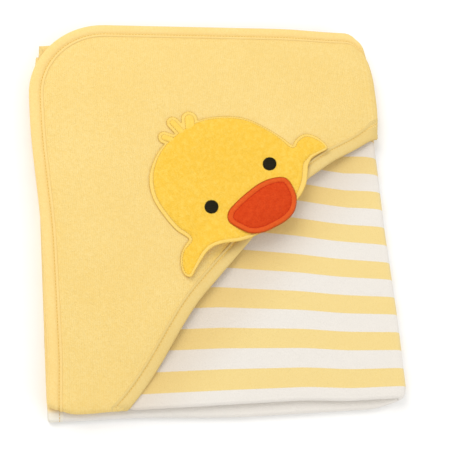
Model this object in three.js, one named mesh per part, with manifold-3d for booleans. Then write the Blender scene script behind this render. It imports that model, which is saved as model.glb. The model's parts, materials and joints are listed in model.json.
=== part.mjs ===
// Hooded baby towel with a duck face on its hood, folded in half both ways.
// Millimetres, +Z up. The towel lies flat: X runs to the right, Y away from the
// front fold, and the origin is on the surface it lies on, under the middle.
//
// The towel is one striped knit cloth. Its far half is folded under the front
// fold, then both layers are folded under the right-hand fold, which leaves four
// layers: A and B above the middle plane, B' and A' below it. The upper pair
// opens like a book cover about the right-hand fold.

import * as THREE from "three";
import { mergeVertices } from "three/addons/utils/BufferGeometryUtils.js";
import Module from "manifold-3d";

const wasm = await Module();
wasm.setup();

// ---------------------------------------------------------------- sizes

const HALF_WIDTH = 172; // the folded towel is 344 wide over its hood
const HALF_DEPTH = 190; // and 380 from front fold to back edge

const CLOTH = 3.2; // one layer of the striped knit terry
const HOOD_CLOTH = 2.4; // the plain terry of the hood
const LAYER_GAP = 0.6; // air between two layers
const SEAM_GAP = 0.3; // clearance between pieces that are sewn together

const MIDDLE = 2 * CLOTH + 1.5 * LAYER_GAP; // the plane where the towel opens
const PAIR = 2 * CLOTH + LAYER_GAP; // thickness of two layers
const UPPER_LOW = MIDDLE + LAYER_GAP / 2;
const LAYER_A_TOP = UPPER_LOW + PAIR;
const HOOD_TOP = LAYER_A_TOP + SEAM_GAP + HOOD_CLOTH;
const PAIR_MIDDLE_UPPER = UPPER_LOW + PAIR / 2;
const PAIR_MIDDLE_LOWER = PAIR / 2;

const CLOTH_RIGHT = 169; // outside of the cloth at the right-hand fold
const CLOTH_FRONT = -182; // front fold of the upper pair
const HOOD_FRONT = CLOTH_FRONT - HOOD_CLOTH - SEAM_GAP;
const HOOD_RIGHT = HALF_WIDTH;
const LOWER_LEFT = -165; // bound edge of the lower pair
const LOWER_BACK = 160;
const SECOND_LEFT = -161; // bound edge of layer B at its back corner
const SECOND_BACK = 170;
const SQUARE_CORNER = 6; // corner radius of layers B, B' and A'

const HOOD_CORNER = 76; // radius of the hood's own corner
const FOLD_CORNER = 40; // rounding where the back edge turns over the fold

const BINDING_WIDTH = 13;
const BINDING_SKIN = 0.5; // the tape lies flush in the cloth it is sewn to
const BINDING_WEB = 1.5; // where the tape turns over the cloth's edge
const STITCH_WIDTH = 1.4;
const STITCH_HEIGHT = 0.5;
const STITCH_LIFT = 0.15;

const MOUTH_OFFSET = 82; // the hood's mouth is the line x - y = MOUTH_OFFSET
const MOUTH_BOW = 18; // and bows this far towards the hood's corner
const MOUTH_REACH = 260; // half the length of the mouth, round both folds
const TAIL = 1.6; // hood cloth pressed flat where it is folded under

// The hood stands off the towel in the middle, which is the way in for a head.
const POCKET = { left: -150, right: 160, front: -160, back: 165, slope: 45, lift: 5 };

const DUCK = { x: 22, y: 25.5, turn: THREE.MathUtils.degToRad(37) };
const FLEECE = 1.6; // the duck's front
const FLEECE_BACKING = 1.2;
const DUCK_BASE = HOOD_TOP + POCKET.lift + SEAM_GAP;
const DUCK_TOP = DUCK_BASE + FLEECE_BACKING + SEAM_GAP + FLEECE;
const FLAP_LINE = -8; // the duck is sewn down above this line and free below it
const FLAP_LIFT = THREE.MathUtils.degToRad(6);
const EYE = { width: 13.5, height: 12, thick: 0.9, left: [-39, 1], right: [34, -1.5] };
const FACE_STITCH_IN = 1.2; // from the edge of the duck's front to its stitches
const BEAK_PUFF = 4.5;
const BEAK_SHELL = 1.4;
const BEAK_STEPS = 3; // the puffed beak rises in this many steps
const BEAK_STEP_IN = 2.2;
const BEAK_STITCH_IN = 0.4; // from the edge of the beak's top to its stitches

const CURVE_STEPS = 7;
const TALL = 60; // height of a cutting prism, more than anything here
const FAR = 600; // reach of a cutting outline, more than anything here

// ---------------------------------------------------------------- materials

function fabric(color, roughness = 0.95) {
  return new THREE.MeshStandardMaterial({ color, roughness, metalness: 0 });
}

const stripedKnit = fabric(0xf3e4bb);
const hoodTerry = fabric(0xf9da8a);
const bindingKnit = fabric(0xf7d784, 0.9);
const yellowThread = fabric(0xf2cf72, 0.6);
const duckFleece = fabric(0xfccf4b);
const orangeFleece = fabric(0xde4b1e);
const orangeThread = fabric(0xe86a30, 0.6);
const blackThread = fabric(0x1e1a14, 0.5);
const wadding = fabric(0xf4f2ec, 1.0);

// ---------------------------------------------------------------- solids

function solidOf(geometry) {
  geometry.deleteAttribute("normal");
  geometry.deleteAttribute("uv");
  const merged = mergeVertices(geometry, 1e-4);
  return new wasm.Manifold(new wasm.Mesh({
    numProp: 3,
    vertProperties: new Float32Array(merged.attributes.position.array),
    triVerts: new Uint32Array(merged.index.array),
  }));
}

function meshOf(name, solid, material) {
  const data = solid.getMesh();
  const geometry = new THREE.BufferGeometry();
  geometry.setAttribute("position", new THREE.BufferAttribute(data.vertProperties, 3));
  geometry.setIndex(new THREE.BufferAttribute(data.triVerts, 1));
  geometry.computeVertexNormals();
  const mesh = new THREE.Mesh(geometry, material);
  mesh.name = name;
  return mesh;
}

function prism(shape, low = -TALL, high = TALL) {
  const options = { depth: high - low, bevelEnabled: false, curveSegments: CURVE_STEPS };
  return solidOf(new THREE.ExtrudeGeometry(shape, options).translate(0, 0, low));
}

function box(x0, x1, y0, y1, z0, z1) {
  const geometry = new THREE.BoxGeometry(x1 - x0, y1 - y0, z1 - z0);
  return solidOf(geometry.translate((x0 + x1) / 2, (y0 + y1) / 2, (z0 + z1) / 2));
}

// A profile in X and Z, drawn along Y.
function alongY(shape, y0, y1) {
  const options = { depth: y1 - y0, bevelEnabled: false, curveSegments: CURVE_STEPS };
  return solidOf(new THREE.ExtrudeGeometry(shape, options).rotateX(Math.PI / 2).translate(0, y1, 0));
}

// A profile in Y and Z, drawn along X.
function alongX(shape, x0, x1) {
  const options = { depth: x1 - x0, bevelEnabled: false, curveSegments: CURVE_STEPS };
  const turn = new THREE.Matrix4().makeBasis(
    new THREE.Vector3(0, 1, 0), new THREE.Vector3(0, 0, 1), new THREE.Vector3(1, 0, 0));
  return solidOf(new THREE.ExtrudeGeometry(shape, options).applyMatrix4(turn).translate(x0, 0, 0));
}

// Layers folded at the right and at the front. The right-hand edge turns towards
// the middle plane as a quarter round and the front edge is a full half round.
function foldedBlock({ right, front, low, high, opensDown }) {
  const height = high - low;
  const left = -2 * HALF_WIDTH;
  const back = 2 * HALF_DEPTH;
  const side = new THREE.Shape();
  if (opensDown) {
    side.moveTo(left, low);
    side.lineTo(right, low);
    side.absarc(right - height, low, height, 0, Math.PI / 2, false);
    side.lineTo(left, high);
  } else {
    side.moveTo(left, low);
    side.lineTo(right - height, low);
    side.absarc(right - height, high, height, -Math.PI / 2, 0, false);
    side.lineTo(left, high);
  }
  side.closePath();
  const radius = height / 2;
  const end = new THREE.Shape();
  end.moveTo(back, low);
  end.lineTo(back, high);
  end.lineTo(front + radius, high);
  end.absarc(front + radius, low + radius, radius, Math.PI / 2, 1.5 * Math.PI, false);
  end.closePath();
  return alongY(side, -back, back).intersect(alongX(end, left, -left));
}

// ---------------------------------------------------------------- outlines

// The top layer and the hood: round corner at the back left, and softly turned
// over the fold at the back right.
function topOutline(inset) {
  const shape = new THREE.Shape();
  const far = 2 * HALF_DEPTH;
  shape.moveTo(-HALF_WIDTH + inset, -far);
  shape.lineTo(HALF_WIDTH + far, -far);
  shape.lineTo(HALF_WIDTH + far, HALF_DEPTH - FOLD_CORNER);
  shape.lineTo(HALF_WIDTH - inset, HALF_DEPTH - FOLD_CORNER);
  shape.absarc(HALF_WIDTH - FOLD_CORNER, HALF_DEPTH - FOLD_CORNER,
    FOLD_CORNER - inset, 0, Math.PI / 2, false);
  shape.lineTo(-HALF_WIDTH + HOOD_CORNER, HALF_DEPTH - inset);
  shape.absarc(-HALF_WIDTH + HOOD_CORNER, HALF_DEPTH - HOOD_CORNER,
    HOOD_CORNER - inset, Math.PI / 2, Math.PI, false);
  shape.closePath();
  return shape;
}

// The other layers: nearly square corners, and a left edge that runs in a little.
function plainOutline(frontLeft, backLeft, back, inset) {
  const shape = new THREE.Shape();
  const far = 2 * HALF_DEPTH;
  const radius = SQUARE_CORNER;
  shape.moveTo(frontLeft + inset, -far);
  shape.lineTo(far, -far);
  shape.lineTo(far, back - inset);
  if (inset < radius) {
    shape.lineTo(backLeft + radius, back - inset);
    shape.absarc(backLeft + radius, back - radius, radius - inset, Math.PI / 2, Math.PI, false);
  } else {
    shape.lineTo(backLeft + inset, back - inset);
  }
  shape.lineTo(frontLeft + inset, -HALF_DEPTH);
  shape.closePath();
  return shape;
}

// Everything on the corner side of the hood's mouth, less an inset.
function mouthOutline(inset) {
  const along = new THREE.Vector2(1, 1).normalize();
  const toCorner = new THREE.Vector2(-1, 1).normalize();
  const middle = new THREE.Vector2(MOUTH_OFFSET / 2, -MOUTH_OFFSET / 2);
  function point(s, t) {
    return middle.clone().addScaledVector(along, s).addScaledVector(toCorner, t + inset);
  }
  const shape = new THREE.Shape();
  const start = point(-MOUTH_REACH, 0);
  const bow = point(0, 2 * MOUTH_BOW);
  const end = point(MOUTH_REACH, 0);
  shape.moveTo(start.x, start.y);
  shape.quadraticCurveTo(bow.x, bow.y, end.x, end.y);
  const farRight = point(MOUTH_REACH, FAR);
  const farLeft = point(-MOUTH_REACH, FAR);
  shape.lineTo(farRight.x, farRight.y);
  shape.lineTo(farLeft.x, farLeft.y);
  shape.closePath();
  return shape;
}

function band(outline, from, to) {
  return prism(outline(from)).subtract(prism(outline(to)));
}

// ---------------------------------------------------------------- lower half

const lowerOutline = (inset) => plainOutline(LOWER_LEFT - 2, LOWER_LEFT, LOWER_BACK, inset);

function lowerBlock(depth) {
  return foldedBlock({
    right: CLOTH_RIGHT - depth, front: -HALF_DEPTH + depth, low: depth, high: PAIR, opensDown: false,
  });
}

// The slit between the two layers of a pair, closed at the front fold.
function slit(middle, right) {
  const half = LAYER_GAP / 2;
  return box(-2 * HALF_WIDTH, right - CLOTH, -HALF_DEPTH + 2 * CLOTH, 2 * HALF_DEPTH,
    middle - half, middle + half);
}

// The hood's mouth mirrored in the right-hand fold, for the end tucked under it.
function mirroredMouth(inset) {
  const mouthY = CLOTH_RIGHT - MOUTH_OFFSET + inset * Math.SQRT2;
  const shape = new THREE.Shape();
  shape.moveTo(HALF_WIDTH * 2, mouthY);
  shape.lineTo(CLOTH_RIGHT, mouthY);
  shape.lineTo(CLOTH_RIGHT - HALF_DEPTH, mouthY + HALF_DEPTH);
  shape.lineTo(HALF_WIDTH * 2, mouthY + HALF_DEPTH);
  shape.closePath();
  return prism(shape);
}

// The hood's end under the right-hand fold, up to the binding of layer A'.
function tailUnderRight(grow) {
  const back = LOWER_BACK - BINDING_WIDTH - SEAM_GAP;
  const room = box(-HALF_WIDTH, 2 * HALF_WIDTH, -HALF_DEPTH, back, -TALL, TALL);
  return mirroredMouth(-grow).intersect(room);
}

function makeLowerHalf(group) {
  const tape = band(lowerOutline, 0, BINDING_WIDTH);
  const tapeRoom = band(lowerOutline, -1, BINDING_WIDTH + SEAM_GAP);
  const skinRoom = lowerBlock(-1).subtract(lowerBlock(BINDING_SKIN + SEAM_GAP));
  const topSkinRoom = box(-2 * HALF_WIDTH, CLOTH_RIGHT, -HALF_DEPTH, HALF_DEPTH,
    PAIR - BINDING_SKIN - SEAM_GAP, TALL);
  const tailRoom = lowerBlock(-1).subtract(lowerBlock(TAIL + SEAM_GAP)).intersect(tailUnderRight(SEAM_GAP));
  const lowerSlit = slit(PAIR_MIDDLE_LOWER, CLOTH_RIGHT);

  const cloth = lowerBlock(0)
    .intersect(prism(lowerOutline(BINDING_WEB + SEAM_GAP)))
    .subtract(skinRoom.add(topSkinRoom).intersect(tapeRoom))
    .subtract(tailRoom)
    .subtract(lowerSlit);
  group.add(meshOf("lower_cloth", cloth, stripedKnit));

  const skin = lowerBlock(0).subtract(lowerBlock(BINDING_SKIN)).intersect(tape);
  const web = lowerBlock(0).intersect(band(lowerOutline, 0, BINDING_WEB));
  const topSkin = box(-2 * HALF_WIDTH, CLOTH_RIGHT, -HALF_DEPTH, HALF_DEPTH, PAIR - BINDING_SKIN, PAIR)
    .intersect(lowerBlock(0));
  const binding = skin.add(web).add(topSkin.intersect(tape)).subtract(lowerSlit);
  group.add(meshOf("lower_edge_binding", binding, bindingKnit));

  const tailShell = lowerBlock(0).subtract(lowerBlock(TAIL));
  const tail = tailShell.intersect(tailUnderRight(0));
  const mouthStrip = mirroredMouth(0).subtract(mirroredMouth(BINDING_WIDTH));
  const mouthRoom = mirroredMouth(-1).subtract(mirroredMouth(BINDING_WIDTH + SEAM_GAP));
  group.add(meshOf("hood_tail", tail.subtract(mouthRoom), hoodTerry));
  group.add(meshOf("hood_tail_binding", tail.intersect(mouthStrip), bindingKnit));
}

// ---------------------------------------------------------------- upper half

const secondOutline = (inset) => plainOutline(-HALF_WIDTH + 2, SECOND_LEFT, SECOND_BACK, inset);

function upperBlock(depth) {
  return foldedBlock({
    right: CLOTH_RIGHT - depth, front: CLOTH_FRONT + depth,
    low: UPPER_LOW, high: LAYER_A_TOP - depth, opensDown: true,
  });
}

// The raised middle of the hood, with sloping sides.
function pocketRise(depth) {
  const { left, right, front, back, slope, lift } = POCKET;
  const low = LAYER_A_TOP - CLOTH;
  const high = HOOD_TOP + lift - depth;
  const geometry = new THREE.BoxGeometry(right - left, back - front, high - low);
  const position = geometry.attributes.position;
  for (let i = 0; i < position.count; i += 1) {
    if (position.getZ(i) > 0) {
      position.setX(i, position.getX(i) - Math.sign(position.getX(i)) * slope);
      position.setY(i, position.getY(i) - Math.sign(position.getY(i)) * slope);
    }
  }
  return solidOf(geometry.translate((left + right) / 2, (front + back) / 2, (low + high) / 2));
}

function hoodBlock(depth) {
  const folded = foldedBlock({
    right: HOOD_RIGHT - depth, front: HOOD_FRONT + depth,
    low: UPPER_LOW, high: HOOD_TOP - depth, opensDown: true,
  });
  return folded.add(pocketRise(depth));
}

function hoodShell(from, to) {
  return hoodBlock(from).subtract(hoodBlock(to));
}

// The hood's end folded under at the front, between the upper and lower pairs.
function tailUnderFront(grow) {
  const mouthX = CLOTH_FRONT + MOUTH_OFFSET;
  const shape = new THREE.Shape();
  shape.moveTo(-2 * HALF_WIDTH, HOOD_FRONT - grow);
  shape.lineTo(mouthX + grow, HOOD_FRONT - grow);
  shape.lineTo(-HALF_WIDTH, CLOTH_FRONT + (mouthX + HALF_WIDTH) + grow);
  shape.lineTo(-2 * HALF_WIDTH, CLOTH_FRONT + (mouthX + HALF_WIDTH) + grow);
  shape.closePath();
  return prism(shape, UPPER_LOW - grow, UPPER_LOW + TAIL + grow);
}

function makeUpperCloth(group) {
  const upperSlit = slit(PAIR_MIDDLE_UPPER, CLOTH_RIGHT);
  const layerA = box(-2 * HALF_WIDTH, 2 * HALF_WIDTH, -HALF_DEPTH, HALF_DEPTH, PAIR_MIDDLE_UPPER, TALL);
  const overA = prism(topOutline(BINDING_WEB + SEAM_GAP));
  const overB = prism(secondOutline(BINDING_WEB + SEAM_GAP));
  const underB = box(-2 * HALF_WIDTH, 2 * HALF_WIDTH, -HALF_DEPTH, HALF_DEPTH,
    0, UPPER_LOW + BINDING_SKIN + SEAM_GAP);
  const secondTapeRoom = band(secondOutline, -1, BINDING_WIDTH + SEAM_GAP).intersect(underB);
  const cloth = upperBlock(0)
    .intersect(overB.subtract(layerA).add(layerA.intersect(overA)))
    .subtract(upperSlit)
    .subtract(secondTapeRoom)
    .subtract(tailUnderFront(SEAM_GAP));
  group.add(meshOf("upper_cloth", cloth, stripedKnit));

  const layerB = box(-2 * HALF_WIDTH, CLOTH_RIGHT - CLOTH, -HALF_DEPTH, HALF_DEPTH,
    UPPER_LOW, PAIR_MIDDLE_UPPER - LAYER_GAP / 2);
  const skinB = box(-2 * HALF_WIDTH, 2 * HALF_WIDTH, -HALF_DEPTH, HALF_DEPTH,
    UPPER_LOW, UPPER_LOW + BINDING_SKIN);
  const tapeB = skinB.intersect(band(secondOutline, 0, BINDING_WIDTH))
    .add(layerB.intersect(band(secondOutline, 0, BINDING_WEB)))
    .intersect(upperBlock(0))
    .subtract(tailUnderFront(SEAM_GAP));
  group.add(meshOf("second_layer_binding", tapeB, bindingKnit));
}

function makeHood(group) {
  const notDownTheFold = box(HALF_WIDTH - BINDING_WIDTH, HALF_WIDTH * 2,
    -HALF_DEPTH * 2, HALF_DEPTH - FOLD_CORNER, -TALL, TALL);
  const hoodSide = prism(mouthOutline(0));
  const edgeTape = band(topOutline, 0, BINDING_WIDTH).subtract(notDownTheFold);
  const edgeRoom = band(topOutline, -1, BINDING_WIDTH + SEAM_GAP).subtract(notDownTheFold);
  const mouthTape = band(mouthOutline, 0, BINDING_WIDTH);
  const mouthRoom = band(mouthOutline, -1, BINDING_WIDTH + SEAM_GAP);
  const skinRoom = hoodShell(-1, BINDING_SKIN + SEAM_GAP);

  const insideEdge = prism(topOutline(BINDING_WEB + SEAM_GAP));
  const tail = tailUnderFront(0)
    .intersect(hoodBlock(0))
    .intersect(insideEdge)
    .intersect(prism(mouthOutline(BINDING_WIDTH + SEAM_GAP)));
  const panel = hoodShell(0, HOOD_CLOTH)
    .intersect(prism(mouthOutline(BINDING_WEB + SEAM_GAP)))
    .intersect(insideEdge)
    .subtract(skinRoom.intersect(edgeRoom.add(mouthRoom)))
    .add(tail);
  group.add(meshOf("hood_panel", panel, hoodTerry));

  const web = band(topOutline, 0, BINDING_WEB).subtract(notDownTheFold);
  const underA = box(-HALF_WIDTH * 2, HALF_WIDTH * 2, -HALF_DEPTH * 2, HALF_DEPTH * 2,
    -TALL, LAYER_A_TOP - CLOTH);
  const edgeBinding = hoodShell(0, BINDING_SKIN).intersect(edgeTape)
    .add(hoodBlock(0).intersect(web))
    .intersect(hoodSide)
    .subtract(underA);
  group.add(meshOf("hood_edge_binding", edgeBinding, bindingKnit));

  const mouthBinding = hoodShell(0, BINDING_SKIN).intersect(mouthTape)
    .add(hoodShell(0, HOOD_CLOTH).intersect(band(mouthOutline, 0, BINDING_WEB)))
    .intersect(prism(topOutline(BINDING_WIDTH + SEAM_GAP)));
  group.add(meshOf("hood_mouth_binding", mouthBinding, bindingKnit));

  const thread = hoodShell(-STITCH_LIFT - STITCH_HEIGHT, -STITCH_LIFT);
  const rowAt = BINDING_WIDTH - 2 * STITCH_WIDTH;
  const edgeRow = band(topOutline, rowAt, rowAt + STITCH_WIDTH)
    .subtract(notDownTheFold).intersect(prism(mouthOutline(BINDING_WIDTH)));
  const mouthRow = band(mouthOutline, rowAt, rowAt + STITCH_WIDTH)
    .intersect(prism(topOutline(BINDING_WIDTH)));
  const onTop = box(-HALF_WIDTH, HALF_WIDTH, -HALF_DEPTH, HALF_DEPTH, LAYER_A_TOP, TALL);
  const topThread = thread.intersect(onTop);
  group.add(meshOf("edge_topstitch", topThread.intersect(edgeRow), yellowThread));
  group.add(meshOf("mouth_topstitch", topThread.intersect(mouthRow), yellowThread));
}

// ---------------------------------------------------------------- duck

// The duck's outline in its own frame: X along the eyes, Y towards the crown.
const HEAD = [
  [-75.5, -9], [-79, 4], [-79.5, 20], [-76.5, 41], [-67, 57.5], [-50, 69.5], [-32, 75],
  [-8, 76], [12, 72], [32, 61], [47, 47], [57, 27], [63, 8], [66, -1],
];
const RIGHT_WING = [[76, 0.5], [85, -2.5], [91, -12], [92, -20], [88.5, -26]];
const CHIN = [
  [73, -23.5], [64, -26], [57, -32], [48, -39], [37, -44.5], [26, -46.5], [14, -49.5],
  [0, -50.5], [-14, -48.5], [-25, -46], [-42, -40.5], [-58, -31.5],
];
const LEFT_WING = [[-72, -29], [-84, -32.3], [-97, -37], [-101, -32], [-97, -21], [-88, -13]];
const BEAK = [
  [-36, -20], [-30, -13.5], [-18, -11], [0, -10.3], [14, -11.2], [27, -15.5], [35.5, -22.5],
  [35, -32], [30, -43], [20, -51], [8, -53], [-6, -51], [-18, -48], [-28, -42], [-33.5, -33],
];
const PETALS = [
  { name: "hair_petal_left", x: -21, y: 68, length: 20, width: 10, turn: 33 },
  { name: "hair_petal_middle", x: -13, y: 70, length: 22, width: 10, turn: 3 },
  { name: "hair_petal_right", x: -3, y: 69, length: 20, width: 12, turn: -37 },
];

function smoothShape(points, count) {
  const knots = points.map(([x, y]) => new THREE.Vector3(x, y, 0));
  const curve = new THREE.CatmullRomCurve3(knots, true, "centripetal");
  return new THREE.Shape(curve.getPoints(count).slice(0, -1).map((p) => new THREE.Vector2(p.x, p.y)));
}

function ellipse(x, y, width, height, turn = 0) {
  const shape = new THREE.Shape();
  shape.absellipse(x, y, width / 2, height / 2, 0, 2 * Math.PI, false, turn);
  return shape;
}

// The same outline pulled in by an inset, as a thinner prism inside it.
function insetPrism(points, count, inset, low, high) {
  const shape = smoothShape(points, count);
  const flat = shape.getPoints(1);
  const last = flat.length;
  const pulled = flat.map((p, i) => {
    const before = flat[(i + last - 1) % last];
    const after = flat[(i + 1) % last];
    const tangent = after.clone().sub(before).normalize();
    const side = THREE.ShapeUtils.isClockWise(flat) ? 1 : -1;
    return new THREE.Vector2(p.x + side * tangent.y * inset, p.y - side * tangent.x * inset);
  });
  return prism(new THREE.Shape(pulled), low, high);
}

const FACE = [...HEAD, ...RIGHT_WING, ...CHIN, ...LEFT_WING];
const FACE_POINTS = 96;
const BEAK_POINTS = 42;

// Height of each duck layer over the underside of its backing.
const FRONT_LOW = FLEECE_BACKING + SEAM_GAP;
const FRONT_HIGH = FRONT_LOW + FLEECE;

const sewnSide = () => box(-FAR, FAR, FLAP_LINE + SEAM_GAP, FAR, -TALL, TALL);
const freeSide = () => box(-FAR, FAR, -FAR, FLAP_LINE - SEAM_GAP, -TALL, TALL);

function petal({ x, y, length, width, turn }, low, high) {
  const angle = THREE.MathUtils.degToRad(90 + turn);
  const middleX = x + Math.cos(angle) * length / 2;
  const middleY = y + Math.sin(angle) * length / 2;
  return prism(ellipse(middleX, middleY, length, width, angle), low, high);
}

function eyeSolid([x, y]) {
  const low = FRONT_HIGH + STITCH_LIFT;
  return prism(ellipse(x, y, EYE.width, EYE.height), low, low + EYE.thick);
}

function makeFace(group) {
  const outlineLow = FRONT_HIGH + STITCH_LIFT;
  const outlineHigh = outlineLow + STITCH_HEIGHT;
  const front = insetPrism(FACE, FACE_POINTS, 0, FRONT_LOW, FRONT_HIGH).intersect(sewnSide());
  const backing = insetPrism(FACE, FACE_POINTS, 0, 0, FLEECE_BACKING).intersect(sewnSide());
  group.add(meshOf("face_front", front, duckFleece));
  group.add(meshOf("face_backing", backing, hoodTerry));

  const headRoom = insetPrism(FACE, FACE_POINTS, -SEAM_GAP, -TALL, TALL);
  PETALS.forEach((one) => {
    const lobe = petal(one, FRONT_LOW, FRONT_HIGH).subtract(headRoom);
    group.add(meshOf(one.name, lobe, duckFleece));
  });

  const stitching = insetPrism(FACE, FACE_POINTS, FACE_STITCH_IN, outlineLow, outlineHigh)
    .subtract(insetPrism(FACE, FACE_POINTS, FACE_STITCH_IN + STITCH_WIDTH, -TALL, TALL))
    .intersect(sewnSide());
  group.add(meshOf("face_stitching", stitching, yellowThread));
  group.add(meshOf("left_eye", eyeSolid(EYE.left), blackThread));
  group.add(meshOf("right_eye", eyeSolid(EYE.right), blackThread));
}

function makeFlap(group) {
  const beakLow = FRONT_HIGH + SEAM_GAP;
  const front = insetPrism(FACE, FACE_POINTS, 0, FRONT_LOW, FRONT_HIGH).intersect(freeSide());
  const backing = insetPrism(FACE, FACE_POINTS, 0, 0, FLEECE_BACKING).intersect(freeSide());
  group.add(meshOf("flap_front", front, duckFleece));
  group.add(meshOf("flap_backing", backing, hoodTerry));

  // The beak is a puffed cover over a thin wad, stepped in towards its top.
  const stepHigh = BEAK_PUFF / BEAK_STEPS;
  const join = 0.01; // how far each step sinks into the one below
  let cover = insetPrism(BEAK, BEAK_POINTS, 0, beakLow, beakLow + stepHigh);
  for (let i = 1; i < BEAK_STEPS; i += 1) {
    const low = beakLow + stepHigh * i - join;
    cover = cover.add(insetPrism(BEAK, BEAK_POINTS, BEAK_STEP_IN * i, low, beakLow + stepHigh * (i + 1)));
  }
  const wadInset = BEAK_STEP_IN * BEAK_STEPS;
  const wadHigh = beakLow + BEAK_PUFF - BEAK_SHELL;
  const hollow = insetPrism(BEAK, BEAK_POINTS, wadInset - SEAM_GAP, -TALL, wadHigh + SEAM_GAP);
  group.add(meshOf("beak_cover", cover.subtract(hollow), orangeFleece));
  group.add(meshOf("beak_wadding", insetPrism(BEAK, BEAK_POINTS, wadInset, beakLow, wadHigh), wadding));

  const ringLow = beakLow + BEAK_PUFF + STITCH_LIFT;
  const ringInset = BEAK_STEP_IN * (BEAK_STEPS - 1) + BEAK_STITCH_IN;
  const ring = insetPrism(BEAK, BEAK_POINTS, ringInset, ringLow, ringLow + STITCH_HEIGHT)
    .subtract(insetPrism(BEAK, BEAK_POINTS, ringInset + STITCH_WIDTH, -TALL, TALL));
  group.add(meshOf("beak_stitching", ring, orangeThread));
}

// ---------------------------------------------------------------- assembly

const towel = new THREE.Group();
makeLowerHalf(towel);
makeUpperCloth(towel);
makeHood(towel);

const duck = new THREE.Group();
duck.position.set(DUCK.x, DUCK.y, DUCK_BASE);
duck.rotation.z = DUCK.turn;
makeFace(duck);

// The free part of the duck turns up about the line it is sewn along.
const flap = new THREE.Group();
const flapHinge = new THREE.Group();
flapHinge.position.set(0, FLAP_LINE, DUCK_TOP - DUCK_BASE);
flapHinge.rotation.x = -FLAP_LIFT;
flap.position.set(0, -FLAP_LINE, -(DUCK_TOP - DUCK_BASE));
flapHinge.add(flap);
makeFlap(flap);
duck.add(flapHinge);
towel.add(duck);

export default towel;
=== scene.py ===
"""Hooded baby towel, folded in four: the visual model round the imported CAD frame.

The towel is drawn in flat cloth coordinates and folded by one function, fold().
s runs across the flat cloth: negative on the upper pair of layers, 0 at the
right-hand fold and positive on the lower pair. r runs along it: positive on the
outer layers, 0 at the front fold and negative on the inner layers. e is the
height over the cloth's own middle, positive on the side that shows. The duck has
a plan of its own: u runs across its face and v up it.
"""

import json
import math

import bmesh
import bpy
import numpy as np
from mathutils import Matrix, Vector
from mathutils.geometry import delaunay_2d_cdt


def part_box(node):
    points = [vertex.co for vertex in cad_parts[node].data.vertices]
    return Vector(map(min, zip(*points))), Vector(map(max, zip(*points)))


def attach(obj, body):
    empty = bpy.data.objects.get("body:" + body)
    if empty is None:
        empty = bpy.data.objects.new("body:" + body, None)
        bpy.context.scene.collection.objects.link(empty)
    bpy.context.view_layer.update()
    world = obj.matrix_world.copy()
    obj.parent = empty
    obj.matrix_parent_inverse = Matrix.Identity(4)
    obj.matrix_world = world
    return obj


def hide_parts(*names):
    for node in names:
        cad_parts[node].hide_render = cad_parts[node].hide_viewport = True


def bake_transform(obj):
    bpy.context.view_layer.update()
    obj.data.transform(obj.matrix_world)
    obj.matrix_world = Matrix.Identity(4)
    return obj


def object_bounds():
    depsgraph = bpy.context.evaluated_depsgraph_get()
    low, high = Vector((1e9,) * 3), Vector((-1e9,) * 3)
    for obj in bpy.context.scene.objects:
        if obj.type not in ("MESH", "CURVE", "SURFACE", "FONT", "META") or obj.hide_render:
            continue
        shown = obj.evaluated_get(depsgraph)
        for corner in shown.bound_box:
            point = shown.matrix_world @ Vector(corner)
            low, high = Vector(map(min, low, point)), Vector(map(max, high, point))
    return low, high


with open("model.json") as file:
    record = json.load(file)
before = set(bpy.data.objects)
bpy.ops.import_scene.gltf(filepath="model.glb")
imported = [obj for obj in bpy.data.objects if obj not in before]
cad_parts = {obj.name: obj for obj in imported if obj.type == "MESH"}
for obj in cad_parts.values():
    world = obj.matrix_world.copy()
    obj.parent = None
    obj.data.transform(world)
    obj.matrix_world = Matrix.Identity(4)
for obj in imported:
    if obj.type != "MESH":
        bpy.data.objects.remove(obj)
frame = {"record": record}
CAD_BOX = [list(map(float, corner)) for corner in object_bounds()]

MM = 0.001
TAU = 2 * math.pi
TINY = 1e-9

# ---------------------------------------------------------------- sizes

joints = {joint["name"]: joint for joint in frame["record"]["behaviour"]["joints"]}
LOW = np.array(CAD_BOX[0])
HIGH = np.array(CAD_BOX[1])
LOWER_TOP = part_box("lower_cloth")[1][2]
UPPER_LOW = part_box("upper_cloth")[0][2]
UPPER_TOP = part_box("upper_cloth")[1][2]
MIDDLE = joints["book_fold"]["pos_m"][2]

LAYER_GAP = UPPER_LOW - LOWER_TOP
CLOTH = (UPPER_TOP - UPPER_LOW - LAYER_GAP) / 2
HOOD_CLOTH = 2.4 * MM
SEAM_GAP = 0.3 * MM
TAIL = 1.6 * MM  # hood cloth where it is pressed flat under a fold
SEAM_PRESS = 0.5 * MM  # how much a bound edge is pressed down on its outer side
SEAM_PRESS_INNER = 0.4 * MM
SEAM_THIN = 0.35  # the share of its thickness that the hood loses at a seam

LAYER_OFFSET = (CLOTH + LAYER_GAP) / 2  # a layer's middle from its pair's middle
PAIR_OFFSET = LAYER_GAP + CLOTH  # a pair's middle from the plane the towel opens on
STACK = PAIR_OFFSET + LAYER_OFFSET
FOLD_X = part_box("upper_cloth")[1][0] - STACK - CLOTH / 2
UPPER_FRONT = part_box("upper_cloth")[0][1] + LAYER_OFFSET + CLOTH / 2
LOWER_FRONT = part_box("lower_cloth")[0][1] + LAYER_OFFSET + CLOTH / 2
UPPER_BACK = HIGH[1]
SECOND_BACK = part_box("second_layer_binding")[1][1]
LOWER_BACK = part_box("lower_edge_binding")[1][1]
UPPER_LEFT = LOW[0]
SECOND_LEFT = UPPER_LEFT + 11 * MM
LOWER_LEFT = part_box("lower_edge_binding")[0][0]

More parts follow.
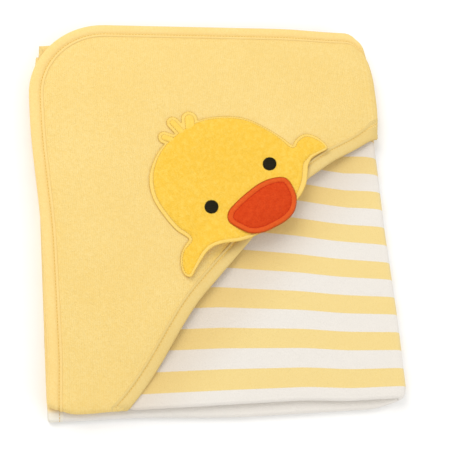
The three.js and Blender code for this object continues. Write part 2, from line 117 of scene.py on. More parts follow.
RIGHT_ARC = math.pi * STACK  # cloth taken up by each fold
FRONT_ARC = math.pi * LAYER_OFFSET
HALF_WIDTH = FOLD_X - UPPER_LEFT + RIGHT_ARC / 2  # of the flat cloth
HALF_LENGTH = UPPER_BACK - UPPER_FRONT + FRONT_ARC / 2

HOOD_CORNER = 76 * MM
SKEW = (-27, 7.5)  # the back edges slant over the right fold between these s, in mm
SKEW_LEAD = 3.2 * MM  # and lean this much before it
BINDING = 13 * MM
MOUTH_OFFSET = 82 * MM  # the hood's mouth is the line x - y = MOUTH_OFFSET
MOUTH_BOW = 18.5 * MM  # and bows this far towards the hood's corner
MOUTH_BOW_AT = -11 * MM
MOUTH_BOW_FLAT = 60 * MM
MOUTH_BOW_RUN = 130 * MM
MOUTH_DROP = 5.5 * MM  # it bows out by this much just before the right-hand fold
LOFT = 1.6 * MM  # air under the top layer
LOFT_WAVE = 0.45  # the share of it that comes and goes in waves
WAVES = ((0.35, 31, 9, 0.6), (0.25, -23, 17, 0), (0.2, 12, 47, 2))  # size, per m of s and r, phase
POCKET_LIFT = 5 * MM  # the hood standing off the towel
MOUTH_LIFT = 3.5 * MM  # and a little more where its mouth passes the duck
MOUTH_LIFT_AT = (-78 * MM, 228 * MM)
MOUTH_LIFT_WIDTH = 42 * MM
FOLD_LIFT = 4.4 * MM  # the hood standing off the right-hand fold

# Painted shade and reflection: the stripes darken and turn yellow towards the hood's mouth.
PAINTED_SHADE_FROM = 195 * MM  # r - s where painted shade, with the hood's reflected yellow, starts on the stripes
PAINTED_SHADE_TO = 285 * MM
PAINTED_HOOD_SHADE = (0.91, 0.85, 0.78, 1)
STRIPE_PERIOD = 34 * MM
STRIPE_START = -10.6 * MM
STRIPE_SKEW = 0.0045
STRIPE_FAN = 0.63  # how much the stripes spread away from the fold, per metre
FAN_REACH = 180 * MM
PULL = 0.065  # and how much they are pulled back close to the fold
PULL_WIDTH = 40 * MM
PULL_FROM = 140 * MM
LOWER_SHIFT = 5 * MM  # how much further the front fold of the lower pair lies into its stripe
LOWER_SHIFT_AT = 60 * MM

DUCK_X = 22 * MM
DUCK_Y = 25.5 * MM
DUCK_TURN = math.radians(37)
FLEECE = 1.3 * MM
FLEECE_BACKING = 0.7 * MM
FLAP_LINE = -8 * MM
FLAP_SLOPE = math.tan(math.radians(6))
RIM = 3 * MM  # backing that shows round the duck's front
PAINTED_REFLECTION_AT = (-38 * MM, -50 * MM)  # where a painted golden reflection of the duck's lower edge lies on the hood
PAINTED_REFLECTION_REACH = (55 * MM, 22 * MM, 1)


def smooth(t):
    t = np.clip(t, 0, 1)
    return t * t * (3 - 2 * t)


def ramp(value, start, stop):
    """0 before start and 1 after stop, smooth between: both are in millimetres."""
    return smooth((value / MM - start) / (stop - start))


def bend(t):
    """0 up to t = 0, then rising faster and faster to 1 at t = 1."""
    return np.clip(t, 0, 1) ** 2


def mix(a, b, t):
    return a + (b - a) * t


# ---------------------------------------------------------------- the folded cloth

def left_edge(s, r):
    """x of the bound left edge: each layer lies a little differently."""
    drawn_in = 6 * MM * ramp(HALF_LENGTH - r, 95, 225) - 2 * MM * ramp(r, 50, 0)
    second = mix(UPPER_LEFT + 4 * MM, SECOND_LEFT, smooth(-r / HALF_LENGTH))
    upper = np.where(r > 0, UPPER_LEFT + drawn_in, second)
    lower = mix(LOWER_LEFT, LOWER_LEFT + 3 * MM, smooth(np.abs(r) / HALF_LENGTH))
    return np.where(s < 0, upper, lower)


def loft(s, r):
    """Air under the outer layer of the upper pair, with a few soft undulations."""
    along = ramp(r, 0, 80) * ramp(HALF_LENGTH - r, 0, 80)
    across = ramp(-s, 0, 110) * ramp(HALF_WIDTH + s, 0, 80)
    wave = sum(size * np.sin(by_s * s + by_r * r + phase) for size, by_s, by_r, phase in WAVES)
    return LOFT * along * across * (1 + LOFT_WAVE * wave)


def front_line(s):
    """y of the front fold: its ends are drawn back a little."""
    corner = 9 * MM * bend(1 - (s + HALF_WIDTH) / (30 * MM))
    upper = UPPER_FRONT + 3 * MM * ramp(-s, 50, 110) + corner
    lower = LOWER_FRONT + 5.2 * MM * ramp(s, 150, 280)
    return mix(upper, lower, ramp(s, -12, 38))


def right_line(r):
    """x of the right-hand fold: its ends are drawn in."""
    away = np.abs(r)
    back_from = 282 * MM
    back = 1.5 * MM * bend((away - back_from) / (HALF_LENGTH - back_from))
    front = 4 * MM * bend(1 - away / (12 * MM))
    middle = 2.5 * MM * ramp(away, 60, 180)
    return FOLD_X - back - front - middle


def fold(s, r, e):
    """Flat cloth coordinates to the folded towel, as an array of points."""
    s, r, e = np.broadcast_arrays(s, r, e)
    round_front = math.pi * np.clip(0.5 - r / FRONT_ARC, 0, 1)
    round_right = math.pi * np.clip(0.5 + s / RIGHT_ARC, 0, 1)
    front = front_line(s)
    back = np.where(r > 0, UPPER_BACK, SECOND_BACK)
    slant = SKEW_LEAD * ramp(s, -95, -20) + ramp(s, *SKEW) ** 2 * (back - LOWER_BACK - SKEW_LEAD)
    along = np.clip(np.abs(r) - FRONT_ARC / 2, 0, None) / (HALF_LENGTH - FRONT_ARC / 2)
    radius = LAYER_OFFSET + e
    y = front + along * (back - front) - slant * along ** 4 - radius * np.sin(round_front)
    height = PAIR_OFFSET + radius * np.cos(round_front) + loft(s, r)
    across = np.clip(np.abs(s) - RIGHT_ARC / 2, 0, None) / (HALF_WIDTH - RIGHT_ARC / 2)
    right = right_line(r)
    x = right + across * (left_edge(s, r) - right) + height * np.sin(round_right)
    z = MIDDLE + height * np.cos(round_right)
    return np.stack([x, y, z], axis=-1)


def flat_of(x, y):
    """The flat cloth coordinates of a point on the top layer."""
    share = (y - UPPER_FRONT) / (UPPER_BACK - UPPER_FRONT)
    r = FRONT_ARC / 2 + share * (HALF_LENGTH - FRONT_ARC / 2)
    left = left_edge(np.full_like(r, -1.0), r)
    s = -(RIGHT_ARC / 2 + (FOLD_X - x) / (FOLD_X - left) * (HALF_WIDTH - RIGHT_ARC / 2))
    return s, r


def duck_plan(u, v):
    """x and y of a point of the duck's own plan."""
    x = DUCK_X + u * math.cos(DUCK_TURN) - v * math.sin(DUCK_TURN)
    y = DUCK_Y + u * math.sin(DUCK_TURN) + v * math.cos(DUCK_TURN)
    return x, y


def edge_distance(s, r):
    """How far inside the towel's bound edge a flat point is."""
    plain = np.minimum(HALF_WIDTH - np.abs(s), HALF_LENGTH - np.abs(r))
    ds = s + HALF_WIDTH - HOOD_CORNER
    dr = HALF_LENGTH - HOOD_CORNER - r
    corner = HOOD_CORNER - np.hypot(np.minimum(ds, 0), np.minimum(dr, 0))
    return np.where((ds < 0) & (dr < 0), corner, plain)


# The mouth of the hood in flat coordinates, from its end under the right-hand
# fold to its end under the front fold.
MOUTH_REACH = FOLD_X + RIGHT_ARC / 2 - UPPER_FRONT + FRONT_ARC / 2 - MOUTH_OFFSET  # r - s on it
MOUTH_MIDDLE = -FOLD_X - RIGHT_ARC / 2 - UPPER_FRONT + FRONT_ARC / 2  # r + s at its middle
HOOD_END_S = HALF_LENGTH - MOUTH_REACH
HOOD_END_R = MOUTH_REACH - HALF_WIDTH
ROOT_HALF = math.sqrt(0.5)


def mouth_bow(t):
    """Distance of the mouth from its straight line, t running along that line."""
    away = np.abs(t - MOUTH_BOW_AT) - MOUTH_BOW_FLAT
    drop = MOUTH_DROP * ramp(t, 112, 167) * ramp(t, 202, 172)
    return MOUTH_BOW * (1 - smooth(away / MOUTH_BOW_RUN)) - drop


def mouth_distance(s, r):
    """How far inside the hood's mouth a flat point is; negative outside it."""
    t = (s + r - MOUTH_MIDDLE) * ROOT_HALF
    return (r - s - MOUTH_REACH) * ROOT_HALF - mouth_bow(t)


def hood_seam(s, r):
    """How far inside the hood's bound edges a flat point is."""
    return np.minimum(edge_distance(s, r), mouth_distance(s, r))


def squeeze(distance):
    """1 where a seam presses the cloth together, fading to 0 inside it."""
    return ramp(distance, 23, 10)


def under_fold(s, r):
    """1 on the hood's two ends that are folded under, 0 on top of the towel."""
    return np.maximum(ramp(s, -2, 8), ramp(r, 5, -3))


def cloth_outer(s, r):
    tucked = under_fold(s, r) * ramp(mouth_distance(s, r), -6, 0)
    pressed = SEAM_PRESS * squeeze(edge_distance(s, r)) * (1 - tucked)
    return CLOTH / 2 - tucked * (TAIL + SEAM_GAP) - pressed


def cloth_inner(s, r):
    return -CLOTH / 2 + SEAM_PRESS_INNER * squeeze(edge_distance(s, r))


def pocket(s, r):
    """How far the hood stands off the towel."""
    from_front = ramp(r, 4, 79)
    inside = ramp(HALF_WIDTH + s, 0, 120) * ramp(HALF_LENGTH - r, 0, 120) * ramp(s, -4, -79)
    from_duck = (s - MOUTH_LIFT_AT[0]) ** 2 + (r - MOUTH_LIFT_AT[1]) ** 2
    mouth = MOUTH_LIFT * np.exp(-from_duck / MOUTH_LIFT_WIDTH ** 2)
    side = ramp(s, 8, 0) * ramp(s, -80, -5) * ramp(HALF_LENGTH - r, -5, 45)
    side = side * mix(0.5, 1, ramp(r, 262, 286))
    return (POCKET_LIFT * inside + FOLD_LIFT * side) * from_front + mouth


def hood_low(s, r):
    seam = SEAM_PRESS * squeeze(edge_distance(s, r))
    top = CLOTH / 2 - seam + SEAM_GAP + pocket(s, r)
    return mix(top, CLOTH / 2 - TAIL, under_fold(s, r))


def hood_high(s, r):
    thick = mix(HOOD_CLOTH, TAIL, under_fold(s, r))
    return hood_low(s, r) + thick * (1 - SEAM_THIN * squeeze(hood_seam(s, r)))


def hood_surface(x, y):
    """Height of the hood's face over a point of the plan."""
    s, r = flat_of(x, y)
    return fold(s, r, hood_high(s, r))[..., 2]


# ---------------------------------------------------------------- mesh tools

SHEET_TRIM = 4 * MM  # a sheet ends this far inside the tape that binds it
MERGE = 1e-7  # points closer than this become one when an outline is filled


def make_object(name, vertices, faces, uv, material, depth=None):
    """depth, where given, is a number for each vertex that the material reads."""
    mesh = bpy.data.meshes.new(name)
    mesh.from_pydata([tuple(v) for v in vertices], [], [tuple(f) for f in faces])
    if depth is not None:
        values = mesh.attributes.new("Depth", "FLOAT", "POINT")
        values.data.foreach_set("value", np.asarray(depth, dtype=np.float32))
    layer = mesh.uv_layers.new(name="Flat")
    corner = np.empty(len(mesh.loops), dtype=np.int32)
    mesh.loops.foreach_get("vertex_index", corner)
    layer.data.foreach_set("uv", np.asarray(uv, dtype=np.float32)[corner].ravel())
    mesh.polygons.foreach_set("use_smooth", [True] * len(mesh.polygons))
    mesh.materials.append(material)
    mesh.validate()
    shape = bmesh.new()
    shape.from_mesh(mesh)
    bmesh.ops.recalc_face_normals(shape, faces=shape.faces)
    shape.to_mesh(mesh)
    shape.free()
    mesh.update()
    thing = bpy.data.objects.new(name, mesh)
    bpy.context.scene.collection.objects.link(thing)
    return thing


def lines(start, stop, step, fold_arc, arc_steps):
    """Grid lines from start to stop, closer together round the fold at 0."""
    half = fold_arc / 2
    parts = [np.linspace(-half, half, arc_steps + 1)]
    if start < -half:
        count = max(2, int(round((-half - start) / step)))
        parts.insert(0, np.linspace(start, -half, count + 1)[:-1])
    if stop > half:
        count = max(2, int(round((stop - half) / step)))
        parts.append(np.linspace(half, stop, count + 1)[1:])
    return np.concatenate(parts)


def sheet_mesh(name, s_lines, r_lines, outer, inner, seam, material):
    """A closed sheet between two surfaces, trimmed where seam(), the distance in
    from its bound edges, is less than SHEET_TRIM."""
    s, r = np.meshgrid(s_lines, r_lines, indexing="ij")
    ns, nr = s.shape
    top = fold(s, r, outer(s, r)).reshape(-1, 3)
    low = fold(s, r, inner(s, r)).reshape(-1, 3)
    index = np.arange(ns * nr).reshape(ns, nr)
    mid_s = (s[1:, 1:] + s[:-1, :-1]) / 2
    mid_r = (r[1:, 1:] + r[:-1, :-1]) / 2
    kept = seam(mid_s, mid_r) > SHEET_TRIM
    a, b, c, d = index[:-1, :-1], index[1:, :-1], index[1:, 1:], index[:-1, 1:]
    shift = ns * nr
    cells = np.stack([a, b, c, d], axis=-1)[kept]
    faces = [cells, cells[:, ::-1] + shift]
    padded = np.pad(kept, 1)
    sides = (
        (padded[1:-1, :-2], a, b),
        (padded[2:, 1:-1], b, c),
        (padded[1:-1, 2:], c, d),
        (padded[:-2, 1:-1], d, a),
    )
    for neighbour, first, second in sides:
        rim = kept & ~neighbour
        p, q = first[rim], second[rim]
        faces.append(np.stack([q, p, p + shift, q + shift], axis=-1))
    faces = np.concatenate(faces)
    used, packed = np.unique(faces, return_inverse=True)
    vertices = np.concatenate([top, low])[used]
    flat = np.stack([s.ravel(), r.ravel()], axis=-1)
    uv = np.concatenate([flat, flat])[used]
    depth = np.tile(seam(s, r).ravel(), 2)[used]
    return make_object(name, vertices, packed.reshape(-1, 4), uv, material, depth)


def swept_mesh(name, rings, uv, material, closed, depth=None):
    """A tube through rings of points: rings is (count, around, 3). depth has one
    number for each ring."""
    count, around, _ = rings.shape
    index = np.arange(count * around).reshape(count, around)
    ahead = np.roll(index, -1, axis=0) if closed else index[1:]
    here = index if closed else index[:-1]
    faces = np.stack([here, np.roll(here, -1, axis=1), np.roll(ahead, -1, axis=1), ahead], axis=-1)
    faces = faces.reshape(-1, 4).tolist()
    if not closed:
        faces.append(index[0][::-1].tolist())
        faces.append(index[-1].tolist())
    values = None if depth is None else np.repeat(depth, around)
    return make_object(name, rings.reshape(-1, 3), faces, uv.reshape(-1, 2), material, values)


def tube_faces(base, rings, around):
    """Faces of a tube with flat ends, through rings of vertices numbered from base."""
    faces = []
    for k in range(rings - 1):
        a = base + k * around
        b = a + around
        for j in range(around):
            n = (j + 1) % around
            faces.append((a + j, b + j, b + n, a + n))
    last = base + (rings - 1) * around
    faces.append(tuple(base + j for j in range(around)))
    faces.append(tuple(last + j for j in reversed(range(around))))
    return faces


def run_along(points):
    """Each point's distance along a polyline."""
    gaps = np.linalg.norm(np.diff(points, axis=0), axis=1)
    return np.concatenate([[0], np.cumsum(gaps)])


def resample(points, step):
    """Points evenly spaced along a closed outline."""
    loop = np.vstack([points, points[:1]])
    gaps = np.linalg.norm(np.diff(loop, axis=0), axis=1)
    loop = loop[np.concatenate([[True], gaps > TINY])]
    run = run_along(loop)
    count = max(3, int(round(run[-1] / step)))
    at = np.linspace(0, run[-1], count + 1)[:-1]
    return np.stack([np.interp(at, run, loop[:, k]) for k in range(loop.shape[1])], axis=-1)


def spline(points):
    """A closed centripetal Catmull-Rom curve through a few chosen points."""
    steps = 10
    p = np.asarray(points, float)
    count = len(p)
    out = []

    def between(values, knots, t, reach):
        """Neighbouring values mixed in pairs, at t between knots reach apart."""
        mixed = []
        for k in range(len(values) - 1):
            first, last = knots[k], knots[k + reach]
            mixed.append(((last - t) * values[k] + (t - first) * values[k + 1]) / (last - first))
        return mixed

    for i in range(count):
        q = p[[(i - 1) % count, i, (i + 1) % count, (i + 2) % count]]
        knots = [0.0]
        for k in range(3):
            knots.append(knots[-1] + max(np.linalg.norm(q[k + 1] - q[k]), TINY) ** 0.5)
        for j in range(steps):
            t = knots[1] + (knots[2] - knots[1]) * j / steps
            pairs = between(between(q, knots, t, 1), knots, t, 2)
            out += between(pairs, knots[1:3], t, 1)
    return np.array(out)


def outline_distance(points, outline):
    """Distance of each plan point from a closed outline, positive inside."""
    a = outline
    b = np.roll(outline, -1, axis=0)
    ab = b - a
    ap = points[:, None, :] - a[None]
    t = np.clip((ap * ab).sum(-1) / (ab * ab).sum(-1), 0, 1)
    distance = np.linalg.norm(ap - t[..., None] * ab, axis=-1).min(axis=1)
    x, y = points[:, 0:1], points[:, 1:2]
    crosses = (a[:, 1] > y) != (b[:, 1] > y)
    rise = np.where(np.abs(ab[:, 1]) < TINY, TINY, ab[:, 1])
    at = a[:, 0] + (y - a[:, 1]) / rise * ab[:, 0]
    inside = (crosses & (x < at)).sum(axis=1) % 2 == 1
    return np.where(inside, distance, -distance)


def signed_area(outline):
    """The area inside an outline, positive where it runs anticlockwise."""
    x, y = outline.T
    return 0.5 * np.sum(x * np.roll(y, -1) - np.roll(x, -1) * y)


def inset(outline, amount):
    """An outline pulled inwards by one amount, or by one for each of its points,
    without the points that would cross it."""
    clear = 0.93  # the share of the amount that a point has to end up away
    amount = np.broadcast_to(amount, len(outline))
    ahead = np.roll(outline, -1, axis=0) - np.roll(outline, 1, axis=0)
    ahead /= np.linalg.norm(ahead, axis=1)[:, None]
    normal = np.stack([-ahead[:, 1], ahead[:, 0]], axis=-1) * math.copysign(1, signed_area(outline))
    moved = outline + normal * amount[:, None]
    good = np.abs(outline_distance(moved, outline)) > clear * np.abs(amount)
    return moved[good]


def union_outline(outlines):
    """One outline round several that overlap."""
    points = np.vstack(outlines)
    starts = np.cumsum([0] + [len(one) for one in outlines])
    loops = [list(range(first, last)) for first, last in zip(starts[:-1], starts[1:])]
    found = delaunay_2d_cdt([Vector(p) for p in points], [], loops, 1, MERGE)
    sides = set()
    for a, b, c in found[2]:
        sides.update(((a, b), (b, c), (c, a)))
    ahead = {a: b for a, b in sides if (b, a) not in sides}
    first = min(ahead)
    walk = [first]
    while ahead[walk[-1]] != first:
        walk.append(ahead[walk[-1]])
    return np.array([tuple(found[0][k]) for k in walk])


# ---------------------------------------------------------------- materials

def linear(color):
    """A colour given as 0 to 255 display values, as the shader's linear one."""
    def one(value):
        return value / 12.92 if value <= 0.04045 else ((value + 0.055) / 1.055) ** 2.4
    return (*[one(value / 255) for value in color], 1)


class Nodes:
    """Short names for building a material's node tree."""

    def __init__(self, name):
        self.material = bpy.data.materials.new(name)
        self.material.use_nodes = True
        self.tree = self.material.node_tree
        self.shader = self.tree.nodes["Principled BSDF"]

    def add(self, kind, inputs=None, **settings):
        node = self.tree.nodes.new(kind)
        for key, value in settings.items():
            setattr(node, key, value)
        for key, value in (inputs or {}).items():
            self.put(node.inputs[key], value)
        return node

    def put(self, socket, value):
        if isinstance(value, bpy.types.NodeSocket):
            self.tree.links.new(value, socket)
        else:
            socket.default_value = value

    def math(self, operation, *values):
        node = self.add("ShaderNodeMath", operation=operation)
        for socket, value in zip(node.inputs, values):
            self.put(socket, value)
        return node.outputs[0]

    def scaled(self, value, factor, plus):
        return self.math("MULTIPLY_ADD", value, factor, plus)

    def clamp(self, value):
        return self.add("ShaderNodeClamp", {"Value": value}).outputs[0]

    def ramp(self, value, start, stop, top=1.0, kind="LINEAR"):
        """0 at start, rising to top at stop."""
        inputs = {"Value": value, "From Min": start, "From Max": stop, "To Max": top}
        return self.add("ShaderNodeMapRange", inputs, interpolation_type=kind).outputs[0]

    def toned(self, tone, shade, color):
        """A display colour, as its shade where tone is 0."""
        return self.blend(tone, linear(shade), linear(color))

    def blend(self, factor, a, b, kind="MIX"):
        node = self.add("ShaderNodeMix", data_type="RGBA", blend_type=kind)
        self.put(node.inputs[0], factor)
        self.put(node.inputs[6], a)
        self.put(node.inputs[7], b)
        return node.outputs[2]

    def noise(self, vector, scale, detail=2.0, rough=0.5):
        inputs = {"Vector": vector, "Scale": scale, "Detail": detail, "Roughness": rough}
        return self.add("ShaderNodeTexNoise", inputs).outputs["Fac"]

    def flat(self):
        return self.add("ShaderNodeUVMap", uv_map="Flat").outputs[0]

    def depth(self):
        return self.add("ShaderNodeAttribute", attribute_name="Depth").outputs["Fac"]

    def pile_height(self, place, loop, fibre):
        """Short looped pile: soft cells with finer fibres on them."""
        warp = self.add("ShaderNodeTexNoise", {"Vector": place, "Scale": 0.35 / loop, "Detail": 1.0})
        moved = self.add("ShaderNodeVectorMath", operation="MULTIPLY_ADD")
        for socket, value in zip(moved.inputs, (warp.outputs["Color"], (loop, loop, loop), place)):
            self.put(socket, value)
        cells = self.add("ShaderNodeTexVoronoi", {"Vector": moved.outputs[0], "Scale": 1 / loop})
        fibres = self.noise(place, 1 / fibre, 3.0, 0.6)
        return self.scaled(cells.outputs["Distance"], -0.7, fibres)

    def pile(self, loop, fibre, mottle, rib=0.0):
        """A pile's height, and how light its colour is, from 0 to 1: darker in the pits
        between loops and in the rib valleys as painted shade, with random patches and
        clouds of tone. mottle is how strongly patches of it lie differently, and rib is
        the distance between its faint knitted ribs, or 0 for none."""
        place = self.flat()
        pile = self.pile_height(place, loop, fibre)
        patches = self.noise(place, 1 / (3.2 * loop), 3.0, 0.65)
        cloud = self.noise(place, 14.0, 2.0)
        tone = self.scaled(pile, 0.9, 0.1)
        tone = self.scaled(self.math("SUBTRACT", patches, 0.5), 2.4 * mottle, tone)
        tone = self.scaled(self.math("SUBTRACT", cloud, 0.5), 0.6, tone)
        if rib:
            split = self.add("ShaderNodeSeparateXYZ", {"Vector": place})
            wave = self.math("SINE", self.math("MULTIPLY", split.outputs[0], TAU / rib))
            tone = self.scaled(wave, 0.1, tone)
            pile = self.scaled(wave, 0.12, pile)
        return pile, self.clamp(tone)

    def finish(self, color, height, distance, roughness, sheen, tint):
        bump = self.add("ShaderNodeBump", {"Height": height, "Distance": distance, "Strength": 1.0})
        looks = {
            "Base Color": color,
            "Normal": bump.outputs[0],
            "Roughness": roughness,
            "Sheen Weight": sheen,
            "Sheen Roughness": 0.55,
            "Sheen Tint": linear(tint),
            "Specular IOR Level": 0.15,
        }
        for key, value in looks.items():
            self.put(self.shader.inputs[key], value)
        return self.material


PILE_ROUGHNESS = 0.92
MOTTLE = 0.35


def terry(name, color, shade, loop=1.5 * MM, fibre=0.5 * MM, depth=0.5 * MM, sheen=0.25, mottle=MOTTLE):
    """Plain pile fabric: the pits between its loops are painted a little darker, as shade."""
    nodes = Nodes(name)
    pile, tone = nodes.pile(loop, fibre, mottle)
    return nodes.finish(nodes.toned(tone, shade, color), pile, depth, PILE_ROUGHNESS, sheen, color)


def hood_with_painted_reflection(name, color, shade, reflected_gold, rib):
    """The hood's pile, with a painted golden reflection where the duck's lower edge lies over it."""
    nodes = Nodes(name)
    pile, tone = nodes.pile(1.5 * MM, 0.5 * MM, MOTTLE, rib)
    s, r = flat_of(*[np.array([value]) for value in duck_plan(*PAINTED_REFLECTION_AT)])
    patch = {"Vector": nodes.flat(), "Location": (s[0], r[0], 0), "Rotation": (0, 0, DUCK_TURN),
             "Scale": PAINTED_REFLECTION_REACH}
    local = nodes.add("ShaderNodeMapping", patch, vector_type="TEXTURE").outputs[0]
    away = nodes.add("ShaderNodeVectorMath", {0: local}, operation="LENGTH").outputs["Value"]
    near = nodes.ramp(away, 1.0, 0.35, top=0.85, kind="SMOOTHSTEP")  # from the patch's rim inwards
    mixed = nodes.blend(near, nodes.toned(tone, shade, color), linear(reflected_gold))
    return nodes.finish(mixed, pile, 0.5 * MM, PILE_ROUGHNESS, 0.25, color)


def with_painted_highlight(name, color, shade, pale, pale_shade, loop, fibre, depth):
    """Pile fabric with a painted highlight: paler by as much as the piece's Depth says, from 0 to 1."""
    nodes = Nodes(name)
    pile, tone = nodes.pile(loop, fibre, MOTTLE)
    own_color = nodes.toned(tone, shade, color)
    mixed = nodes.blend(nodes.depth(), own_color, nodes.toned(tone, pale_shade, pale))
    return nodes.finish(mixed, pile, depth, PILE_ROUGHNESS, 0.2, color)


def edged(name, color, shade, rim, rim_shade, at, loop, fibre, depth):
    """Pile fabric with another colour nearer to its edge than at."""
    nodes = Nodes(name)
    pile, tone = nodes.pile(loop, fibre, 0.6)
    wobble = nodes.noise(nodes.flat(), 1 / (1.2 * MM), 1.0)
    inward = nodes.scaled(wobble, 0.8 * MM, nodes.depth())
    side = nodes.ramp(inward, at, at + 0.7 * MM)
    mixed = nodes.blend(side, nodes.toned(tone, rim_shade, rim), nodes.toned(tone, shade, color))
    return nodes.finish(mixed, pile, depth, PILE_ROUGHNESS, 0.12, color)


def striped(name, white, white_shade, yellow, yellow_shade):
    """Knit stripes across the towel, pulled a little out of square, with painted shade and reflected yellow
    near the hood's mouth.
    """
    nodes = Nodes(name)
    place = nodes.flat()
    split = nodes.add("ShaderNodeSeparateXYZ", {"Vector": place})
    s, r = split.outputs[0], split.outputs[1]
    wobble = nodes.noise(place, 1 / (1.3 * MM), 2.0)
    level = nodes.scaled(s, STRIPE_SKEW, r)
    spread = nodes.math("MAXIMUM", nodes.math("MINIMUM", s, 0.0), -FAN_REACH)
    level = nodes.scaled(nodes.math("MULTIPLY", spread, r), STRIPE_FAN, level)
    near_fold = nodes.ramp(s, -PULL_WIDTH, 0.0)
    pulled = nodes.math("MAXIMUM", nodes.math("SUBTRACT", r, PULL_FROM), 0.0)
    level = nodes.scaled(nodes.math("MULTIPLY", near_fold, pulled), -PULL, level)
    level = nodes.scaled(nodes.ramp(s, 0.0, LOWER_SHIFT_AT), LOWER_SHIFT, level)
    level = nodes.math("ADD", level, STRIPE_START)
    level = nodes.scaled(wobble, 0.7 * MM, level)
    wave = nodes.math("SINE", nodes.math("MULTIPLY", level, TAU / STRIPE_PERIOD))
    sharpness = 9.0
    band = nodes.clamp(nodes.scaled(wave, sharpness, 0.5))
    pile = nodes.pile_height(place, 1.2 * MM, 0.45 * MM)
    # darker where the pile is low: painted shade in the pits between loops
    tone = nodes.clamp(nodes.scaled(pile, 0.8, 0.45))
    light = nodes.toned(tone, white_shade, white)
    stripes = nodes.blend(band, light, nodes.toned(tone, yellow_shade, yellow))
    # painted shade and reflected yellow from the hood, near its mouth
    shade_by_hood = nodes.ramp(nodes.math("SUBTRACT", r, s), PAINTED_SHADE_FROM, PAINTED_SHADE_TO, kind="SMOOTHSTEP")
    shaded_stripes = nodes.blend(shade_by_hood, stripes, PAINTED_HOOD_SHADE, "MULTIPLY")
    return nodes.finish(shaded_stripes, pile, 0.35 * MM, 0.9, 0.3, (255, 255, 255))


def thread(name, color, shade, roughness):
    """Spun thread: fine twist lines along each stitch."""
    nodes = Nodes(name)
    inputs = {"Vector": nodes.flat(), "Scale": 260.0, "Distortion": 1.5, "Detail": 1.0}
    twist = nodes.add("ShaderNodeTexWave", inputs, bands_direction="DIAGONAL").outputs["Fac"]
    return nodes.finish(nodes.toned(twist, shade, color), twist, 0.12 * MM, roughness, 0.1, color)


TAPE_PILE = {"loop": 0.9 * MM, "fibre": 0.35 * MM, "depth": 0.2 * MM}

striped_knit = striped("striped_knit", (234, 229, 222), (225, 220, 213), (239, 215, 148), (232, 203, 126))
# hood pile with a painted golden reflection under the duck's lower edge
hood_terry = hood_with_painted_reflection("hood_terry", (247, 223, 155), (238, 205, 123), reflected_gold=(255, 214, 96), rib=1.9 * MM)
hood_backing = terry("hood_backing", (250, 220, 132), (242, 206, 106), loop=1.3 * MM)
# the edge tape, paler where Depth says: a painted highlight at the lower pair's front corner
binding_knit = with_painted_highlight("binding_knit", (244, 220, 155), (237, 204, 128), pale=(240, 236, 226),
                     pale_shade=(232, 227, 214), **TAPE_PILE)
# the same tape as the edge binding, in a darker copy: painted shade on the mouth tape
mouth_knit_shaded = terry("mouth_knit_shaded", (230, 208, 146), (223, 193, 120), sheen=0.2, **TAPE_PILE)
duck_fleece = terry("duck_fleece", (253, 216, 100), (247, 198, 66), depth=0.7 * MM, sheen=0.2, mottle=0.9)
petal_fleece = terry("petal_fleece", (252, 220, 122), (244, 204, 88), loop=1.3 * MM)
beak_fleece = edged("beak_fleece", (226, 80, 30), (206, 60, 14), rim=(232, 104, 42), rim_shade=(220, 84, 28),
                    at=4.4 * MM, loop=1.4 * MM, fibre=0.5 * MM, depth=0.6 * MM)
yellow_thread = thread("yellow_thread", (230, 192, 100), (214, 172, 82), 0.6)
gold_thread = thread("gold_thread", (224, 186, 92), (210, 170, 76), 0.6)
orange_thread = thread("orange_thread", (206, 56, 14), (176, 40, 8), 0.6)
rust_thread = thread("rust_thread", (200, 92, 16), (176, 70, 8), 0.6)
black_thread = thread("black_thread", (38, 33, 4), (14, 12, 1), 0.5)
white_wadding = terry("white_wadding", (245, 244, 240), (228, 226, 220), 3 * MM, 0.6 * MM, 0.8 * MM)

# ---------------------------------------------------------------- towel and hood

GRID = 4 * MM
HOOD_GRID = 3 * MM
RIGHT_STEPS = 16  # grid steps round the right-hand fold
FRONT_STEPS = 10


def make_cloth():
    s_lines = lines(-HALF_WIDTH, HALF_WIDTH, GRID, RIGHT_ARC, RIGHT_STEPS)
    r_lines = lines(-HALF_LENGTH, HALF_LENGTH, GRID, FRONT_ARC, FRONT_STEPS)
    return sheet_mesh("striped_cloth", s_lines, r_lines, cloth_outer, cloth_inner, edge_distance,
                      striped_knit)


def make_hood():
    s_lines = lines(-HALF_WIDTH, HOOD_END_S, HOOD_GRID, RIGHT_ARC, RIGHT_STEPS)
    r_lines = lines(HOOD_END_R, HALF_LENGTH, HOOD_GRID, FRONT_ARC, FRONT_STEPS)
    return sheet_mesh("hood", s_lines, r_lines, hood_high, hood_low, hood_seam, hood_terry)


# The folded tape in section, in mm: distance in from the edge, and height over what
# it covers. It is puffed, sewn down in a groove, and ends in a narrow raised lip.
TAPE = [(13.5, -0.5), (13.2, 0.3), (12.7, 0.8), (11.8, 1.0), (11.0, 0.7), (10.5, 0.0), (9.9, -0.1),
        (9.3, 0.3), (8.4, 0.85), (7.0, 1.15), (5.0, 1.25), (2.8, 1.05), (1.2, 0.5)]
TAPE_STEP = 1.2 * MM  # between the section's points, as its material sees them
TAPE_STEPS = 16  # rings of tape round each fold
TAPE_FLAT = 0.2  # how puffed the tape is where the towel lies on it


def within(points):
    """Flat points kept on the towel, as separate s and r."""
    s, r = points.T
    return np.clip(s, -HALF_WIDTH, HALF_WIDTH), np.clip(r, -HALF_LENGTH, HALF_LENGTH)


